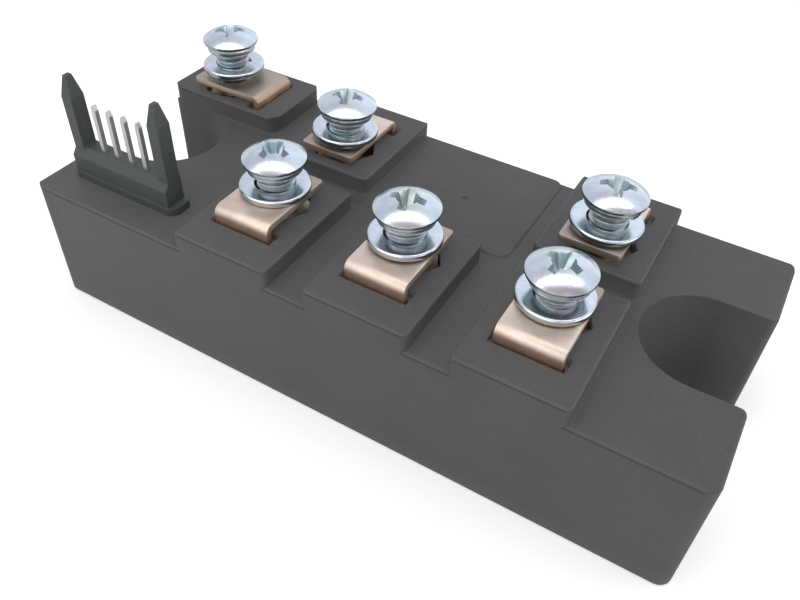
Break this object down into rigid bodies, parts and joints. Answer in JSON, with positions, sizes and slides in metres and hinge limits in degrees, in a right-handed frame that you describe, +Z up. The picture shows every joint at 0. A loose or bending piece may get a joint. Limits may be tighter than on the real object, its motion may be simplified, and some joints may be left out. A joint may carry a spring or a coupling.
{
  "type": "igbt module",
  "caption": "Plastic-cased power semiconductor module with folded screw terminals on raised pads, a pinned control header and open-ended mounting slots over a metal base plate.",
  "frame": {"origin": "middle of the underside of the base plate", "axes": "+Z up from the heat sink face, +X along the length with the control header at the -X end, +Y from the header side to the back"},
  "size_m": [0.095, 0.041, 0.0349],
  "materials": {
    "case_plastic": "fine matt moulded surface",
    "header_plastic": "matt moulded surface",
    "plated_base": "dull nickel plating over copper",
    "alumina": "matt white ceramic",
    "bare_copper": "matt copper",
    "silicon": "satin metallised silicon",
    "wire_metal": "satin drawn wire",
    "gel": "clear soft gel",
    "tinned_copper": "satin plated copper strip",
    "pin_metal": "bright tinned pin",
    "nut_metal": "satin brass",
    "zinc_steel": "bright clear-zinc plating"
  },
  "bodies": {
    "root": {"case": "case_plastic", "base_plate": "plated_base", "ceramic_left": "alumina", "ceramic_right": "alumina", "bonding_copper": "bare_copper", "circuit_copper": "bare_copper", "igbt_die_1": "silicon", "igbt_die_2": "silicon", "diode_die_1": "silicon", "diode_die_2": "silicon", "diode_die_3": "silicon", "diode_die_4": "silicon", "bond_wires": "wire_metal", "silicone_gel": "gel", "terminal_1": "tinned_copper", "terminal_2": "tinned_copper", "terminal_3": "tinned_copper", "terminal_4": "tinned_copper", "terminal_5": "tinned_copper", "terminal_6": "tinned_copper", "control_header": "header_plastic", "signal_pin_1": "pin_metal", "signal_pin_2": "pin_metal", "signal_pin_3": "pin_metal", "signal_pin_4": "pin_metal", "hex_nuts": "nut_metal", "flat_washers": "zinc_steel", "lock_washers": "zinc_steel", "screws": "zinc_steel"}
  },
  "joints": []
}
